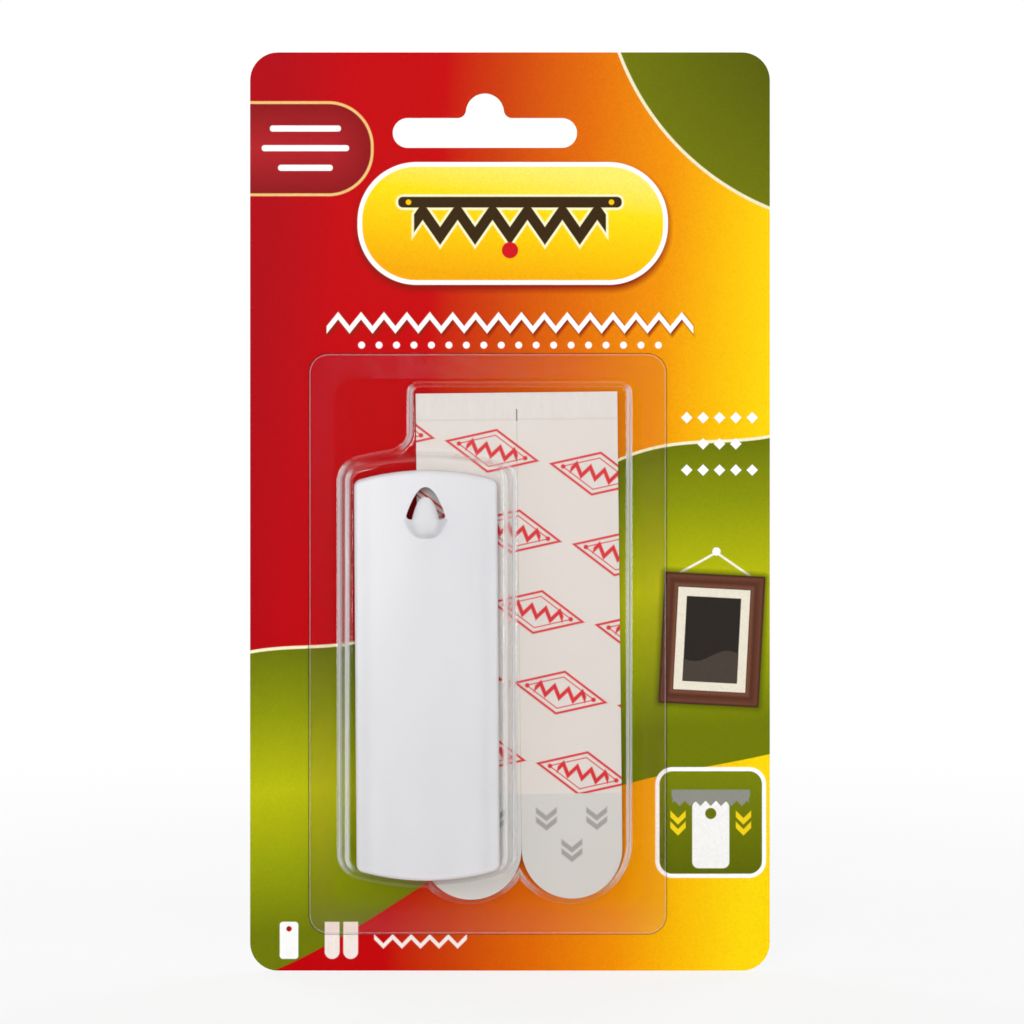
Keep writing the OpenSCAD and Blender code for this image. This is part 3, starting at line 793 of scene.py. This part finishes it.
def thinned(piece, share):
    """The piece drawn a little thinner than the gap it fills, so that no two faces share a place."""
    depths = [vertex.co.y for vertex in piece.data.vertices]
    middle = (min(depths) + max(depths)) / 2
    for vertex in piece.data.vertices:
        vertex.co.y = middle + (vertex.co.y - middle) * share
    return piece


def dress(piece, material):
    piece.data.materials.clear()
    piece.data.materials.append(material)
    for face in piece.data.polygons:
        face.material_index = 0


def dress_node(name, material):
    for place in nodes[name].material_slots:
        place.material = material


def build_pieces():
    clear = merged_copy("blister", "clear_blister", sharp_degrees=50)
    dress(clear, clear_sheet_material())
    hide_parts("blister")
    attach(clear, "pack")

    seal = thinned(merged_copy("seal_band", "seal_coat_band", sharp_degrees=50), share=0.6)
    dress(seal, seal_material())
    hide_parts("seal_band")
    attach(seal, "pack")

    hanger = merged_copy("hanger_body", "white_hanger", sharp_degrees=48)
    dress(hanger, hanger_material())
    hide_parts("hanger_body")
    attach(hanger, "hanger")

    dress_node("backing_card", card_material())
    foam = foam_material()
    adhesive = adhesive_material()
    printed_liner = liner_material("printed liner", printed=True)
    plain_liner = liner_material("plain liner", printed=False)
    printed_tab = tab_material("printed tab film", printed=True)
    plain_tab = tab_material("plain tab film", printed=False)
    header = header_material()
    for side in ("left", "right"):
        dress_node(f"foam_core_{side}", foam)
        dress_node(f"wall_adhesive_{side}", adhesive)
        dress_node(f"hook_adhesive_{side}", adhesive)
        dress_node(f"wall_liner_{side}", printed_liner)
        dress_node(f"hook_liner_{side}", plain_liner)
        dress_node(f"tab_film_front_{side}", printed_tab)
        dress_node(f"tab_film_back_{side}", plain_tab)
    dress_node("header_film_front", header)
    dress_node("header_film_back", header)


# Floor, camera and light
def floor_material():
    """A pale sheet that sweeps away into the white of the studio, and keeps the shadow near the object."""
    surface = Surface("pale floor", roughness=0.7, specular=0.1)
    tree = surface.tree
    mm = flat_place(tree, (0.0, 0.0, 0.0)).mm
    x, y, _ = split(tree, mm)
    grain = surface.grain(mm, mottle=0.01, fibre=0.02, stretch=1.0)
    surface.colour(Paint(tree, ramp(tree, grain.mottle, [(0.3, "f6f6f6"), (0.7, "fbfbfb")])))
    rays = add(tree, "ShaderNodeLightPath")
    mirrored = Field(tree, rays.outputs["Is Glossy Ray"])
    seen = Field(tree, rays.outputs["Is Camera Ray"])
    seen = seen.most(Field(tree, rays.outputs["Is Transmission Ray"])).most(mirrored)
    distance = ((x * x + y * y).work("SQRT") * 0.0022 - 0.14).held().eased()
    # A mirror shows it white behind the object and dark before it, as it shows the studio
    before = (y * -0.01).held()
    glow = add(tree, "ShaderNodeEmission")
    glow.inputs["Color"].default_value = ink(WHITE)
    tree.links.new((mirrored * before).turned_over().socket, glow.inputs["Strength"])
    white_share = (seen * (distance * 0.2 + 0.8)).most(mirrored)
    surface.show(mix_shaders(tree, white_share, surface.shader, glow))
    return surface.material


def build_floor():
    sheet = bmesh.new()
    bmesh.ops.create_grid(sheet, x_segments=1, y_segments=1, size=3.0)
    bmesh.ops.translate(sheet, verts=sheet.verts, vec=(0.0, 0.0, CARD_FOOT))
    mesh = bpy.data.meshes.new("floor")
    sheet.to_mesh(mesh)
    sheet.free()
    floor = bpy.data.objects.new("floor", mesh)
    bpy.context.scene.collection.objects.link(floor)
    floor.data.materials.append(floor_material())


def build_camera():
    distance = 0.5
    right = 0.37 * MM
    down = 0.09 * MM
    lens = bpy.data.cameras.new("camera")
    lens.lens = 95.9
    lens.sensor_width = 36.0
    lens.sensor_fit = "HORIZONTAL"
    lens.clip_start = 0.01
    lens.clip_end = 20.0
    camera = bpy.data.objects.new("camera", lens)
    camera.location = (CARD_MIDDLE[0] + right, CARD_FRONT - distance, CARD_MIDDLE[2] - down)
    camera.rotation_euler = (math.radians(90), 0.0, 0.0)
    bpy.context.scene.collection.objects.link(camera)
    bpy.context.scene.camera = camera


def soft_lamp(name, place, size, power):
    """A softbox of a width and a height, turned to the middle of the card."""
    data = bpy.data.lights.new(name, "AREA")
    data.shape = "RECTANGLE"
    data.size, data.size_y = size
    data.energy = power
    lamp = bpy.data.objects.new(name, data)
    lamp.location = place
    aim = Vector(CARD_MIDDLE) - Vector(place)
    lamp.rotation_euler = aim.to_track_quat("-Z", "Y").to_euler()
    bpy.context.scene.collection.objects.link(lamp)
    return lamp


def build_lamps():
    soft_lamp("left softbox", (-0.72, -0.62, 0.0), size=(0.13, 0.9), power=2.2)
    soft_lamp("right softbox", (0.78, -0.62, -0.02), size=(0.13, 0.9), power=2.3)
    soft_lamp("left front strip", (-0.2, -0.87, 0.1), size=(0.12, 0.5), power=1.8)
    soft_lamp("right front strip", (0.24, -0.87, 0.1), size=(0.08, 0.5), power=0.85)
    soft_lamp("top softbox", (0.0, -0.45, 0.65), size=(0.8, 0.4), power=1.1)
    fill = soft_lamp("front fill", (-0.05, -1.1, 0.16), size=(0.3, 0.3), power=1.5)
    fill.visible_glossy = False
    for side in (-1, 1):
        back = soft_lamp("back softbox", (side * 0.6, 0.75, 0.25), size=(0.5, 0.5), power=4.0)
        back.visible_camera = False


def build_world():
    """A studio that is white behind the object and dark behind the photographer."""
    world = bpy.data.worlds.new("studio")
    bpy.context.scene.world = world
    world.use_nodes = True
    tree = world.node_tree
    tree.nodes.clear()
    rays = add(tree, "ShaderNodeLightPath")
    seen = Field(tree, rays.outputs["Is Camera Ray"])
    glossy = Field(tree, rays.outputs["Is Glossy Ray"])
    mirrored = glossy.most(Field(tree, rays.outputs["Is Transmission Ray"]))
    where = add(tree, "ShaderNodeTexCoord")
    _, backward, _ = split(tree, where.outputs["Generated"])
    back = (backward * 1.4 + 0.75).held()
    dark = 0.02
    room = 0.16
    others = seen.most(mirrored).turned_over()
    level = seen.most(mirrored * (back * (1 - dark) + dark)).most(others * room)
    air = add(tree, "ShaderNodeBackground")
    air.inputs["Color"].default_value = ink(WHITE)
    tree.links.new(level.socket, air.inputs["Strength"])
    leave = add(tree, "ShaderNodeOutputWorld")
    tree.links.new(air.outputs[0], leave.inputs["Surface"])


build_camera()
build_pieces()
build_floor()
build_lamps()
build_world()
bpy.context.scene.view_settings.view_transform = "Standard"
# Light passes up to a dozen clear faces on its way to the card and back
bpy.context.scene.cycles.transparent_max_bounces = 24
